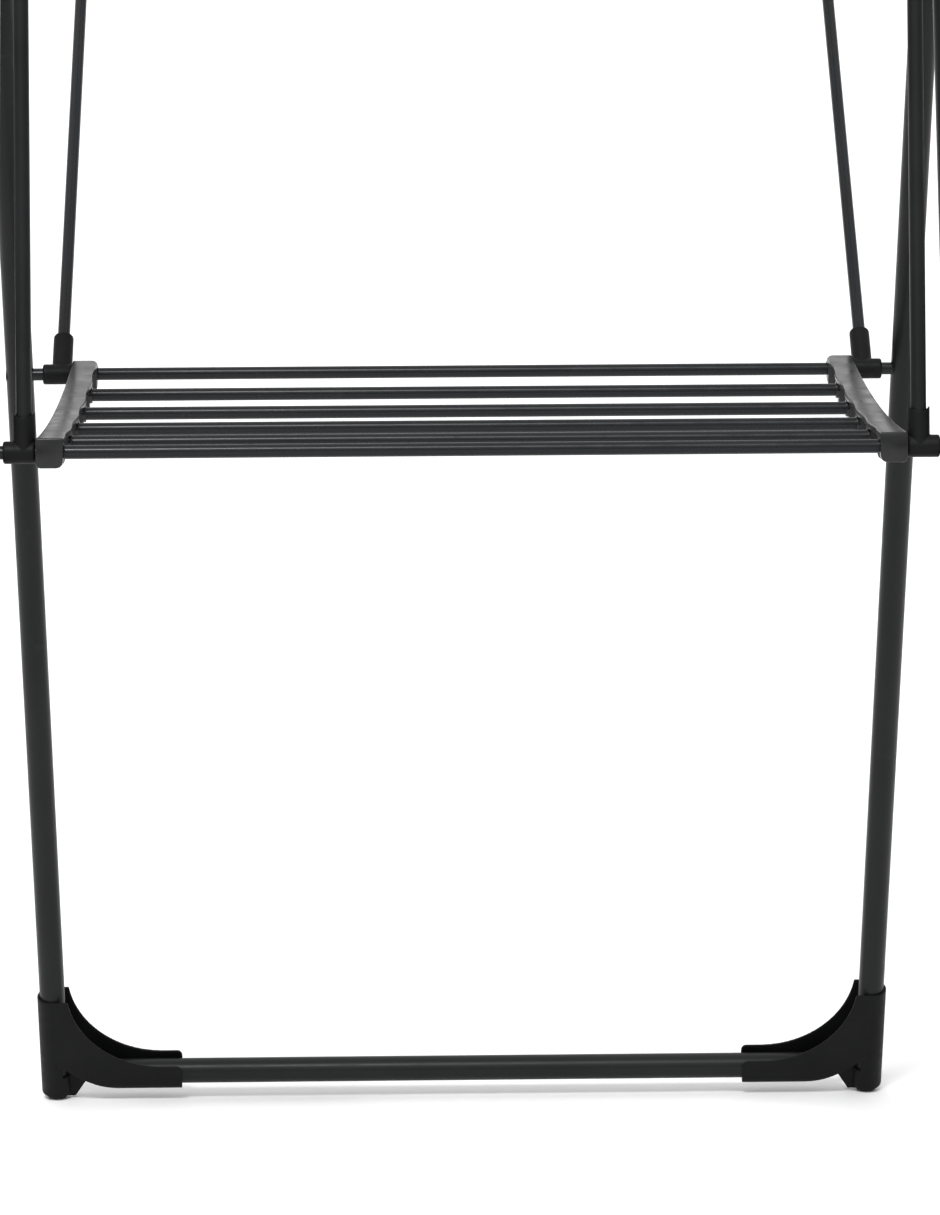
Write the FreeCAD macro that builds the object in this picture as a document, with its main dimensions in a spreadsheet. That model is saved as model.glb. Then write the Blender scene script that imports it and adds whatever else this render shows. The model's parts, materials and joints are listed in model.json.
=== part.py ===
"""Folding floor drying rack: two hinged tube frames, a rod shelf, a wing and a hanging rail.

Millimetres. +Z is up, X runs across the rack and -Y is its front. The origin is on the floor
under the middle of the opened rack, wing included. The front frame's pieces are the rear frame's
turned half round Z.
"""
import FreeCAD, Part
import math
import os

import Sketcher

DIMENSIONS = {
    # the two leaning frames
    "lean_angle": 20.0,
    "rear_half_width": 358.0,
    "front_half_width": 354.0,
    "hinge_offset": 16.0,
    "axle_to_apex": 564.0,
    "axle_to_base": 694.0,
    "leg_diameter": 22.0,
    "leg_wall": 1.0,
    "thin_wall": 0.8,
    "top_tube_diameter": 16.0,
    # corner brackets at the feet
    "bracket_depth": 26.4,
    "bracket_reach": 111.0,
    "bracket_rise": 82.0,
    "bracket_lip": 13.0,
    "bracket_curve": 80.0,
    "bracket_floor": 12.6,
    "bracket_bend": 7.0,
    "arm_end_round": 5.0,
    "underside_start": 71.0,
    "underside_curve": 95.0,
    "tube_inset": 46.0,
    "web_thickness": 8.0,
    "web_foot": 16.5,
    "web_flare": 12.5,
    "foot_depth": 24.0,
    "foot_chamfer": 5.0,
    "screw_diameter": 4.0,
    "screw_length": 8.0,
    "screw_head": 8.0,
    "head_height": 2.4,
    # apex hinges
    "housing_width": 28.0,
    "housing_height": 42.0,
    "housing_face": 3.0,
    "housing_top": 9.0,
    "housing_corner": 8.0,
    "lug_radius": 10.0,
    "lug_gap": 0.8,
    "pin_diameter": 8.0,
    "pin_head": 2.5,
    "pin_clip": 1.6,
    # the shelf
    "axle_diameter": 10.0,
    "shelf_half_width": 315.0,
    "shelf_end_width": 20.0,
    "shelf_end_height": 22.0,
    "shelf_sag": 8.5,
    "hook_offset": 4.0,
    "hook_mouth": 18.0,
    "hook_drop": 26.0,
    "rod_depth": 12.0,
    "running_gap": 0.06,
    "loose_gap": 0.4,
    # posts, rail and props
    "tee_half_width": 324.0,
    "tee_diameter": 16.4,
    "tee_inner": 8.2,
    "tee_outer": 15.2,
    "post_diameter": 11.5,
    "post_length": 1005.0,
    "post_lean": 10.8,
    "post_socket": 30.0,
    "rim_gap": 1.3,
    "rim_dip": 5.3,
    "rim_scallop": 9.2,
    "recess_depth": 12.0,
    "socket_start": 9.0,
    "rail_diameter": 19.0,
    "elbow_wall": 2.5,
    "elbow_stem": 34.0,
    "elbow_seat": 25.0,
    "elbow_drop": 10.0,
    "prop_diameter": 10.0,
    "prop_length": 579.5,
    "prop_angle": 39.7,
    "prop_socket": 40.0,
    "prop_bend": 16.0,
    "clip_rise": 380.0,
    "clip_wall": 3.0,
    "cradle_wall": 4.0,
    "clip_arm": 7.0,
    "clip_height": 16.0,
    "collar_height": 26.0,
    "cradle_depth": 1.6,
    # the wing
    "wing_half_width": 300.0,
    "wing_drop": 165.0,
    "wing_offset": 24.0,
    "wing_length": 580.0,
    "wing_tube_diameter": 12.0,
    "wing_rod_diameter": 8.0,
    "knuckle_half": 9.0,
    "knuckle_wall": 5.0,
    "knuckle_stem": 36.0,
    "wing_hinge_rise": 15.0,
    "wing_hinge_lug": 9.0,
    "socket_wall": 1.5,
    "corner_arm": 32.0,
    "catch_width": 10.0,
    "catch_thickness": 4.0,
    "catch_height": 17.0,
    "catch_gap": 0.6,
    # how far the hinge plane stands in front of the middle of the opened rack
    "hinge_plane": 109.05,
}
SHELF_RODS = 6
WING_RODS = 5
X_AXIS = FreeCAD.Vector(1, 0, 0)
Y_AXIS = FreeCAD.Vector(0, 1, 0)
Z_AXIS = FreeCAD.Vector(0, 0, 1)

doc = FreeCAD.newDocument("DryingRack")
sheet = doc.addObject("Spreadsheet::Sheet", "Dimensions")
for row, (alias, value) in enumerate(DIMENSIONS.items(), start=1):
    sheet.set(f"A{row}", alias)
    sheet.set(f"B{row}", str(value))
    sheet.setAlias(f"B{row}", alias)
doc.recompute()


def size(alias):
    """The value of one named cell."""
    return float(sheet.get(alias))


def bind(item, prop, formula):
    """Bind a property to a formula of cell names written as {name}."""
    item.setExpression(prop, formula.replace("{", "Dimensions.").replace("}", ""))


def turn(axis, degrees):
    """A turn about an axis."""
    return FreeCAD.Rotation(axis, degrees)


LEAN = math.radians(size("lean_angle"))
LEG_SPAN = size("axle_to_apex") + size("axle_to_base")
FOOT_RADIUS = size("bracket_depth") / 2 - size("foot_chamfer")
BASE_HEIGHT = size("foot_depth") * math.cos(LEAN) + FOOT_RADIUS * math.sin(LEAN)
APEX_HEIGHT = BASE_HEIGHT + LEG_SPAN * math.cos(LEAN) - size("hinge_offset") * math.sin(LEAN)
APEX = FreeCAD.Vector(0, -size("hinge_plane"), APEX_HEIGHT)
REAR = turn(X_AXIS, size("lean_angle"))
FRONT = turn(Z_AXIS, 180) * REAR
FRAMES = {"rear": REAR, "front": FRONT}
SIDES = {"left": -1, "right": 1}
HALF_WIDTH = {"rear": size("rear_half_width"), "front": size("front_half_width")}
AXLE_POINT = {
    name: APEX + rotation.multVec(FreeCAD.Vector(0, size("hinge_offset"), -size("axle_to_apex")))
    for name, rotation in FRAMES.items()
}
SHELF_DEPTH = AXLE_POINT["rear"].y - AXLE_POINT["front"].y
POST_TURN = turn(X_AXIS, -size("post_lean"))
HOUSING_SPLIT = (size("rear_half_width") + size("front_half_width")) / 2
LEG_TOP = -14.0  # the leg tubes end this far below the hinge axis
LEG_FOOT = 14.0  # and this far below the base tube's middle
SCREW_PLACES = (56.0, 98.0)  # from the leg's middle along the arm
TOP_TUBE_OUT = 20.0
TOP_TUBE_ALONG = -4.0
HOUSING_SEAT = 10.0  # depth of the top tube's seat
RAIL_REACH = 26.0
SIDE_START = 14.0  # from the wing's hinge to its side tubes
CORNER_LENGTH = 34.0
parts = []


def in_frame(frame, across, out, along, spin=None):
    """A place in a frame's own axes: across in world X, out from the hinge plane, along its legs."""
    rotation = FRAMES[frame]
    local_across = across if frame == "rear" else -across
    point = APEX + rotation.multVec(FreeCAD.Vector(local_across, out, along))
    return FreeCAD.Placement(point, rotation * spin if spin else rotation)


def finish(item, name, placement=None):
    """Name a finished piece, put it in its place and keep it for export."""
    item.Label = name
    if placement:
        item.Placement = placement
    parts.append(item)
    return item


# ---------------------------------------------------------------- building blocks

def cylinder(diameter, length, point=(0, 0, 0), axis=None):
    """A plain cylinder from a point along an axis, its sizes bound to formulas."""
    bar = doc.addObject("Part::Cylinder", "Bar")
    bind(bar, "Radius", f"({diameter}) / 2")
    bind(bar, "Height", length)
    spin = FreeCAD.Rotation(Z_AXIS, axis) if axis else FreeCAD.Rotation()
    bar.Placement = FreeCAD.Placement(FreeCAD.Vector(*point), spin)
    return bar


def cut(base, tools):
    """Take one or more tools away from a base."""
    result = doc.addObject("Part::Cut", "Cut")
    result.Base = base
    result.Tool = fuse(tools) if len(tools) > 1 else tools[0]
    return result


def fuse(shapes):
    """Join pieces of one moulding."""
    result = doc.addObject("Part::MultiFuse", "Fuse")
    result.Shapes = shapes
    result.Refine = True
    return result


def pipe(diameter, wall, length, cross_holes=(), hole_diameter=None, reach=None):
    """A tube along Z with holes across it along X, at the given heights."""
    outer = cylinder(diameter, length)
    bore = cylinder(f"{diameter} - 2 * {wall}", f"({length}) + 2", (0, 0, -1))
    tools = [bore]
    for height, start in cross_holes:
        tools.append(cylinder(hole_diameter, reach, (start, 0, height), X_AXIS))
    return cut(outer, tools)


def plane(body, role):
    """One of the body's own origin planes."""
    return next(item for item in body.Origin.OriginFeatures if item.Role == role)


def sketch_on(body, role, name):
    sketch = body.newObject("Sketcher::SketchObject", name)
    sketch.AttachmentSupport = [(plane(body, role), "")]
    sketch.MapMode = "FlatFace"
    return sketch


def outline(body, role, name, edges):
    """A closed outline of lines and arcs, held where its driving sizes put it."""
    sketch = sketch_on(body, role, name)
    for edge in edges:
        index = sketch.addGeometry(edge, False)
        sketch.addConstraint(Sketcher.Constraint("Block", index))
    return sketch


def disc(body, role, name, centre, diameter, inner=None):
    """A circle, or a ring with an inner circle, whose diameters are bound to formulas."""
    sketch = sketch_on(body, role, name)
    where = FreeCAD.Vector(centre[0], centre[1], 0)
    for label, formula in (("Size", diameter), ("Inner", inner)):
        if formula is None:
            continue
        index = sketch.addGeometry(Part.Circle(where, Z_AXIS, 1.0), False)
        sketch.addConstraint(Sketcher.Constraint("DistanceX", index, 3, centre[0]))
        sketch.addConstraint(Sketcher.Constraint("DistanceY", index, 3, centre[1]))
        size_index = sketch.addConstraint(Sketcher.Constraint("Diameter", index, 2.0))
        sketch.renameConstraint(size_index, label)
        bind(sketch, f"Constraints.{label}", formula)
    return sketch


def shifted(sketch, distance):
    """Move a sketch along its plane's normal."""
    sketch.AttachmentOffset = FreeCAD.Placement(FreeCAD.Vector(0, 0, distance), FreeCAD.Rotation())
    return sketch


def pad(body, sketch, length, middle=True, reverse=False):
    """Add a sketch's thickness to its body, about its plane or to one side of it."""
    feature = body.newObject("PartDesign::Pad", "Pad")
    feature.Profile = sketch
    bind(feature, "Length", length)
    feature.Midplane = middle
    feature.Reversed = reverse
    doc.recompute()
    return feature


def revolve(body, sketch):
    """Turn a sketch once round its own vertical axis."""
    feature = body.newObject("PartDesign::Revolution", "Revolution")
    feature.Profile = sketch
    feature.ReferenceAxis = (sketch, ["V_Axis"])
    doc.recompute()
    return feature


def pocket(body, sketch, length, middle=True, reverse=False):
    """A pocket that must really take something away."""
    before = body.Shape.Volume
    feature = body.newObject("PartDesign::Pocket", "Pocket")
    feature.Profile = sketch
    bind(feature, "Length", length)
    feature.Midplane = middle
    feature.Reversed = reverse
    doc.recompute()
    if body.Shape.Volume > before - 1:
        raise RuntimeError(f"{body.Name}: the pocket {sketch.Name} cuts nothing")
    return feature


def new_body(name):
    return doc.addObject("PartDesign::Body", name)


def vector(x, y):
    return FreeCAD.Vector(x, y, 0)


def line(start, end):
    return Part.LineSegment(vector(*start), vector(*end))


def polygon(points):
    """Straight edges round a closed list of points."""
    return [line(a, b) for a, b in zip(points, points[1:] + points[:1])]


def arc_between(start, middle, end):
    return Part.Arc(vector(*start), vector(*middle), vector(*end))


def on_circle(centre, radius, degrees):
    angle = math.radians(degrees)
    return (centre[0] + radius * math.cos(angle), centre[1] + radius * math.sin(angle))


# ---------------------------------------------------------------- the two frames

def leg(frame, side):
    """A leg tube with the hole that its axle runs through."""
    radius = size("leg_diameter") / 2
    foot = -LEG_SPAN - LEG_FOOT
    axle_height = -size("axle_to_apex") - foot
    tube = pipe("{leg_diameter}", "{leg_wall}",
                f"{{axle_to_apex}} + {{axle_to_base}} + {LEG_FOOT + LEG_TOP}",
                [(axle_height, -radius - 1)], "{axle_diameter}", "{leg_diameter} + 2")
    finish(tube, f"{frame}_leg_{side}",
           in_frame(frame, SIDES[side] * HALF_WIDTH[frame], size("hinge_offset"), foot))


def cross_bar(bar, name, frame, half, out, along):
    """Put a tube made along Z right across a frame, its middle at the frame's."""
    start = -half if frame == "rear" else half
    finish(bar, name, in_frame(frame, start, out, along, turn(Y_AXIS, 90)))


def base_tube(frame):
    """The cross tube between the two foot brackets, drilled for their screws."""
    half = HALF_WIDTH[frame] - size("tube_inset")
    width = f"2 * ({{{frame}_half_width}} - {{tube_inset}})"
    tube = pipe("{leg_diameter}", "{leg_wall}", width)
    drills = []
    for side in SIDES.values():
        for place in SCREW_PLACES:
            height = half + side * (HALF_WIDTH[frame] - place)
            drills.append(cylinder("{screw_diameter}", "{leg_diameter} / 2", (0, 0, height), X_AXIS))
    cross_bar(cut(tube, drills), f"{frame}_base_tube", frame, half, size("hinge_offset"), -LEG_SPAN)


def top_tube(frame):
    """The thinner cross tube that ties the two apex housings."""
    inset = size("housing_width") / 2 - HOUSING_SEAT
    tube = pipe("{top_tube_diameter}", "{leg_wall}", f"2 * {{{frame}_half_width}} - {2 * inset}")
    cross_bar(tube, f"{frame}_top_tube", frame, HALF_WIDTH[frame] - inset,
              TOP_TUBE_OUT, TOP_TUBE_ALONG)


def arm_section():
    """Section of a bracket's arm before it is hollowed: flat sides and a rounded underside."""
    half = size("bracket_depth") / 2
    floor = -size("bracket_floor")
    bend = size("bracket_bend")
    rise = size("bracket_rise")
    left = (bend - half, floor + bend)
    right = (half - bend, floor + bend)
    return [
        line((-half, rise), (-half, left[1])),
        arc_between((-half, left[1]), on_circle(left, bend, 225), (left[0], floor)),
        line((left[0], floor), (right[0], floor)),
        arc_between((right[0], floor), on_circle(right, bend, 315), (half, right[1])),
        line((half, right[1]), (half, rise)),
        line((half, rise), (-half, rise)),
    ]


def above_walls():
    """What is taken off above the walls: they sweep down in an arc to a level arm."""
    reach = size("bracket_reach")
    rise = size("bracket_rise")
    curve = size("bracket_curve")
    corner = size("arm_end_round")
    lip = size("bracket_lip")
    centre = (size("bracket_depth") / 2 + curve, lip + curve)
    start_angle = 180 + math.degrees(math.asin((centre[1] - rise) / curve))
    start = on_circle(centre, curve, start_angle)
    low = (centre[0], lip)
    beyond = (reach + 1, rise + 1)
    return [
        arc_between(start, on_circle(centre, curve, (start_angle + 270) / 2), low),
        line(low, (reach - corner, lip)),
        arc_between((reach - corner, lip),
                    on_circle((reach - corner, lip - corner), corner, 45),
                    (reach, lip - corner)),
        line((reach, lip - corner), (beyond[0], lip - corner)),
        line((beyond[0], lip - corner), beyond),
        line(beyond, (start[0], beyond[1])),
        line((start[0], beyond[1]), start),
    ]


def underside_point(across):
    """A point of the arc along which the arm's underside rises to the leg's column."""
    radius = size("underside_curve")
    step = size("underside_start") - across
    return (across, radius - size("bracket_floor") - math.sqrt(radius ** 2 - step ** 2))


def below_arm():
    """What is taken off below the arm between the column and the level stretch."""
    start = size("underside_start")
    low = -size("bracket_floor") - 1
    top = underside_point(0)
    level = underside_point(start)
    return [
        arc_between(level, underside_point(start / 2), top),
        line(top, (0, low)),
        line((0, low), (start, low)),
        line((start, low), level),
    ]


def column_outline():
    """Half section of the column round the leg, chamfered where it stands."""
    radius = size("bracket_depth") / 2
    foot = -size("foot_depth")
    rise = size("bracket_rise")
    return polygon([(0, foot), (FOOT_RADIUS, foot), (radius, foot + size("foot_chamfer")),
                    (radius, rise), (0, rise)])


def web_outline():
    """The set-back web that braces the arm against the column."""
    foot = -size("foot_depth") + size("loose_gap")
    inside = size("leg_diameter") / 2
    join = size("web_foot") + size("web_flare")
    under_arm = underside_point(join)[1]
    return polygon([(0, foot), (size("web_foot"), foot), (join, under_arm),
                    (join, under_arm + inside), (0, under_arm + 2 * inside)])


def foot_bracket(frame, side):
    """Moulded corner: a column for the leg and an open-topped channel for the base tube."""
    body = new_body("FootBracket")
    reach = size("bracket_reach")
    rise = size("bracket_rise")
    tube_start = size("tube_inset")
    pad(body, outline(body, "YZ_Plane", "Arm", arm_section()), "{bracket_reach}", middle=False)
    pocket(body, outline(body, "XZ_Plane", "AboveWalls", above_walls()), "{bracket_depth} + 2")
    pocket(body, outline(body, "XZ_Plane", "BelowArm", below_arm()), "{bracket_depth} + 2")
    revolve(body, outline(body, "XZ_Plane", "Column", column_outline()))
    pad(body, outline(body, "XZ_Plane", "Web", web_outline()), "{web_thickness}")
    channel = polygon([(0, 0), (reach + 1, 0), (reach + 1, rise + 1), (0, rise + 1)])
    pocket(body, outline(body, "XZ_Plane", "Channel", channel), "{leg_diameter}")
    trough = shifted(disc(body, "YZ_Plane", "Trough", (0, 0), "{leg_diameter}"), tube_start)
    pocket(body, trough, "{bracket_reach}", middle=False, reverse=True)
    socket = shifted(disc(body, "XY_Plane", "LegSocket", (0, 0), "{leg_diameter}"), -LEG_FOOT)
    pocket(body, socket, f"{{bracket_rise}} + {LEG_FOOT + 1}", middle=False, reverse=True)
    for place in SCREW_PLACES:
        hole = disc(body, "XY_Plane", "ScrewHole", (place, 0), "{screw_diameter}")
        pocket(body, hole, "{bracket_floor} + 1", middle=False)
    spin = turn(Z_AXIS, 180) if faces_back(frame, side) else None
    finish(body, f"{frame}_foot_bracket_{side}",
           in_frame(frame, SIDES[side] * HALF_WIDTH[frame], size("hinge_offset"), -LEG_SPAN, spin))


def faces_back(frame, side):
    """True where a piece's inward direction is against the frame's own X."""
    return (side == "right") == (frame == "rear")


def foot_pad(frame, side):
    """Round rubber wedge under a column: square to the leg above, flat on the floor below."""
    body = new_body("FootPad")
    top = -size("foot_depth")
    edge = FOOT_RADIUS + 1
    level = -BASE_HEIGHT / math.cos(LEAN)
    slope = math.tan(LEAN)
    plug = disc(body, "XY_Plane", "Plug", (0, 0), "{bracket_depth} - 2 * {foot_chamfer}")
    pad(body, shifted(plug, top), f"{FOOT_RADIUS}", middle=False, reverse=True)
    under_floor = polygon([(-edge, level + slope * edge), (edge, level - slope * edge),
                           (edge, top - 2 * edge), (-edge, top - 2 * edge)])
    pocket(body, outline(body, "YZ_Plane", "UnderFloor", under_floor), "{bracket_depth}")
    finish(body, f"{frame}_foot_pad_{side}",
           in_frame(frame, SIDES[side] * HALF_WIDTH[frame], size("hinge_offset"), -LEG_SPAN))


def bracket_screws(frame):
    """Pan head screws up through the brackets' floors into the base tube."""
    pieces = []
    under = -size("bracket_floor")
    for side in SIDES.values():
        for place in SCREW_PLACES:
            across = side * (HALF_WIDTH[frame] - place)
            shank = cylinder("{screw_diameter}", "{screw_length}", (across, 0, under))
            head = cylinder("{screw_head}", "{head_height}",
                            (across, 0, under - size("head_height")))
            pieces.append(fuse([head, shank]))
    group = doc.addObject("Part::Compound", "Screws")
    group.Links = pieces
    finish(group, f"{frame}_bracket_screws",
           in_frame(frame, 0, size("hinge_offset"), -LEG_SPAN))


def housing_outline():
    """Side view of an apex housing: a block over the leg's top with a round lug beside it."""
    lug = size("lug_radius")
    low = -size("housing_height")
    face = size("housing_face")
    top = size("housing_top")
    corner = size("housing_corner")
    back = size("hinge_offset") + size("housing_width") / 2
    return [
        line((face, low), (back, low)),
        line((back, low), (back, top - corner)),
        arc_between((back, top - corner), on_circle((back - corner, top - corner), corner, 45),
                    (back - corner, top)),
        line((back - corner, top), (0, lug)),
        arc_between((0, lug), (-lug, 0), (0, -lug)),
        line((0, -lug), (face, -lug - 4)),
        line((face, -lug - 4), (face, low)),
    ]


def apex_housing(frame, side):
    """Moulded cap on a leg's top. Its lug fills one side of the split, the other frame's lug
    the other side."""
    body = new_body("ApexHousing")
    half = size("housing_width") / 2
    outward = 1 if faces_back(frame, side) else -1
    gap = size("loose_gap") / 2
    pad(body, outline(body, "YZ_Plane", "Side", housing_outline()), "{housing_width}")
    split = HOUSING_SPLIT - HALF_WIDTH[frame]
    relief_start, relief_end = (-half - 1, split + gap) if frame == "rear" else (split - gap, half + 1)
    relief = disc(body, "YZ_Plane", "Relief", (0, 0), "2 * ({lug_radius} + {lug_gap})")
    pocket(body, shifted(relief, outward * (relief_start + relief_end) / 2),
           f"{relief_end - relief_start}")
    leg_socket = disc(body, "XY_Plane", "LegSocket", (0, size("hinge_offset")), "{leg_diameter}")
    pocket(body, shifted(leg_socket, LEG_TOP), "{housing_height}", middle=False)
    tube_socket = disc(body, "YZ_Plane", "TubeSocket", (TOP_TUBE_OUT, TOP_TUBE_ALONG),
                       "{top_tube_diameter}")
    pocket(body, shifted(tube_socket, -outward * (half - HOUSING_SEAT / 2)), f"{HOUSING_SEAT}")
    bore_size = "{pin_diameter}" if frame == "rear" else "{pin_diameter} + 2 * {running_gap}"
    pocket(body, disc(body, "YZ_Plane", "PinBore", (0, 0), bore_size), "{housing_width} + 2")
    finish(body, f"{frame}_hinge_housing_{side}",
           in_frame(frame, SIDES[side] * HALF_WIDTH[frame], 0, 0))


def apex_pins():
    """The two headed pins on which the frames fold."""
    pieces = []
    half = size("housing_width") / 2
    inner = size("front_half_width") - half - 1
    outer = size("rear_half_width") + half
    head = size("pin_head")
    for sign in SIDES.values():
        axis = FreeCAD.Vector(sign, 0, 0)
        shank = cylinder("{pin_diameter}", f"{outer - inner + head}", (sign * inner, 0, 0), axis)
        cap = cylinder("{pin_diameter} + 5", "{pin_head}",
                       (sign * (outer + size("loose_gap") / 2), 0, 0), axis)
        clip = cylinder("{pin_diameter} + 4", "{pin_clip}", (sign * (inner - 1), 0, 0), axis)
        pieces.append(fuse([shank, cap, clip]))
    group = doc.addObject("Part::Compound", "Pins")
    group.Links = pieces
    finish(group, "apex_pins", FreeCAD.Placement(APEX, FreeCAD.Rotation()))


def axle(frame):
    """A tube right across the frame, its ends flush with the outer sides of the legs."""
    tube = pipe("{axle_diameter}", "{thin_wall}", f"2 * {{{frame}_half_width}} + {{leg_diameter}}")
    cross_bar(tube, f"{frame}_axle", frame, HALF_WIDTH[frame] + size("leg_diameter") / 2,
              size("hinge_offset"), -size("axle_to_apex"))


# ---------------------------------------------------------------- the shelf

def sag_radius():
    half = SHELF_DEPTH / 2
    return (half ** 2 + size("shelf_sag") ** 2) / (2 * size("shelf_sag"))


def shelf_curve(fraction, lift=0.0):
    """A point of the shelf's hollow line, in Y from the rear axle and Z, lifted by a distance."""
    radius = sag_radius()
    half_angle = math.asin(SHELF_DEPTH / 2 / radius)
    angle = (2 * fraction - 1) * half_angle
    reach = radius - lift
    return (-SHELF_DEPTH / 2 - reach * math.sin(angle),
            radius - size("shelf_sag") - reach * math.cos(angle))


def shelf_end(side):
    """Hollow side strip: bored for the rear axle, hooked over the front one."""
    body = new_body("ShelfEnd")
    half = size("shelf_end_height") / 2
    strip = outline(body, "YZ_Plane", "Strip", [
        arc_between(shelf_curve(0, half), shelf_curve(0.5, half), shelf_curve(1, half)),
        arc_between(shelf_curve(1, half), (-SHELF_DEPTH - half, 0), shelf_curve(1, -half)),
        arc_between(shelf_curve(1, -half), shelf_curve(0.5, -half), shelf_curve(0, -half)),
        arc_between(shelf_curve(0, -half), (half, 0), shelf_curve(0, half)),
    ])
    pad(body, strip, "{shelf_end_width}")
    rear_bore = disc(body, "YZ_Plane", "RearBore", (0, 0), "{axle_diameter} + 2 * {running_gap}")
    pocket(body, rear_bore, "{shelf_end_width} + 2")
    hook = size("axle_diameter") / 2 + size("loose_gap")
    centre = (-SHELF_DEPTH, 0)
    below = -size("hook_drop")
    mouth_start = centre[0] + size("hook_offset")
    mouth_end = mouth_start + size("hook_mouth")
    mouth = outline(body, "YZ_Plane", "HookMouth", [
        arc_between(on_circle(centre, hook, 210), on_circle(centre, hook, 120),
                    on_circle(centre, hook, 30)),
        line(on_circle(centre, hook, 30), (mouth_end, below)),
        line((mouth_end, below), (mouth_start, below)),
        line((mouth_start, below), on_circle(centre, hook, 210)),
    ])
    pocket(body, mouth, "{shelf_end_width} + 2")
    inward = -SIDES[side]
    for number in range(1, SHELF_RODS - 1):
        place = shelf_curve(number / (SHELF_RODS - 1))
        hole = disc(body, "YZ_Plane", "RodHole", place, "{axle_diameter}")
        pocket(body, shifted(hole, inward * (size("shelf_end_width") - size("rod_depth")) / 2),
               "{rod_depth}")
    centre_x = SIDES[side] * (size("shelf_half_width") - size("shelf_end_width") / 2)
    rear = AXLE_POINT["rear"]
    finish(body, f"shelf_end_{side}",
           FreeCAD.Placement(FreeCAD.Vector(centre_x, rear.y, rear.z), FreeCAD.Rotation()))


def shelf_rod(number):
    """One of the rods between the two strips."""
    along, height = shelf_curve(number / (SHELF_RODS - 1))
    half = size("shelf_half_width") - size("shelf_end_width") + size("rod_depth")
    rod = pipe("{axle_diameter}", "{thin_wall}",
               "2 * ({shelf_half_width} - {shelf_end_width} + {rod_depth})")
    rear = AXLE_POINT["rear"]
    finish(rod, f"shelf_rod_{number + 1}",
           FreeCAD.Placement(FreeCAD.Vector(-half, rear.y + along, rear.z + height),
                             turn(Y_AXIS, 90)))


# ---------------------------------------------------------------- tees, posts, rail, props

def rounded(bar, distance):
    """Round both rims of a plain cylinder."""
    doc.recompute()
    soft = doc.addObject("Part::Fillet", "Rounded")
    soft.Base = bar
    rims = [index for index, edge in enumerate(bar.Shape.Edges, start=1)
            if isinstance(edge.Curve, Part.Circle)]
    soft.Edges = [(index, distance, distance) for index in rims]
    doc.recompute()
    return soft


def open_rim():
    """What opens a post's socket at its rim: clearance all round and a dip in front and behind."""
    rim = size("post_socket")
    clearance = cylinder("{post_diameter} + 2 * {rim_gap}", "{recess_depth} + 1",
                         (0, 0, rim - size("recess_depth")))
    dip = cylinder("2 * {rim_scallop}", "{tee_diameter} + 2",
                   (0, -size("tee_diameter") / 2 - 1,
                    rim + size("rim_scallop") - size("rim_dip")), Y_AXIS)
    return [clearance, dip]


def tee(name, side, frame, tilt, socket, bar_diameter, rim_tools=()):
    """Barrel on the axle with a socket that holds a post or a prop."""
    sign = SIDES[side]
    outward = FreeCAD.Vector(sign, 0, 0)
    barrel = rounded(cylinder("{tee_diameter}", "{tee_inner} + {tee_outer}",
                              (-sign * size("tee_inner"), 0, 0), outward), 1.6)
    stem = rounded(cylinder("{tee_diameter} - 0.2", socket), 1.2)
    bore = cylinder("{axle_diameter} + 2 * {running_gap}", "{tee_inner} + {tee_outer} + 2",
                    (-sign * (size("tee_inner") + 1), 0, 0), outward)
    tools = [bore, cylinder(bar_diameter, socket, (0, 0, size("socket_start"))), *rim_tools]
    place = AXLE_POINT[frame] + FreeCAD.Vector(sign * size("tee_half_width"), 0, 0)
    finish(cut(fuse([barrel, stem]), tools), name, FreeCAD.Placement(place, turn(X_AXIS, tilt)))


def rail_post(side):
    """Upright tube from its tee up to the rail's elbow."""
    tube = pipe("{post_diameter}", "{thin_wall}", "{post_length} - {socket_start}")
    start = post_point(size("socket_start"), SIDES[side] * size("tee_half_width"))
    finish(tube, f"rail_post_{side}", FreeCAD.Placement(start, POST_TURN))


def post_point(distance, across):
    """A point on the posts' line, a distance up from the front axle."""
    offset = POST_TURN.multVec(FreeCAD.Vector(0, 0, distance))
    return AXLE_POINT["front"] + FreeCAD.Vector(across, offset.y, offset.z)


def rail_elbow(side):
    """Moulded corner between a post and the hanging rail."""
    sign = SIDES[side]
    inward = FreeCAD.Vector(-sign, 0, 0)
    end = size("elbow_drop")
    stem = cylinder("{post_diameter} + 2 * {elbow_wall}", "{elbow_stem}",
                    (0, 0, -size("elbow_stem")))
    arm = cylinder("{rail_diameter} + 2 * {elbow_wall}", f"{RAIL_REACH + end}",
                   (sign * end, 0, 0), inward)
    solid = fuse([stem, rounded(arm, 3)])
    post_seat = cylinder("{post_diameter}", "{elbow_seat}", (0, 0, -size("elbow_stem") - 1))
    rail_seat = cylinder("{rail_diameter}", f"{RAIL_REACH}", (-sign * 2, 0, 0), inward)
    finish(cut(solid, [post_seat, rail_seat]), f"rail_elbow_{side}",
           FreeCAD.Placement(post_point(size("post_length") + end,
                                        sign * size("tee_half_width")), POST_TURN))


def hanging_rail():
    """The top rail on which hangers hang."""
    tube = pipe("{rail_diameter}", "{leg_wall}", "2 * {tee_half_width} - 4")
    start = post_point(size("post_length") + size("elbow_drop"), -size("tee_half_width") + 2)
    finish(tube, "hanging_rail",
           FreeCAD.Placement(start, POST_TURN * turn(Y_AXIS, 90)))


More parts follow.
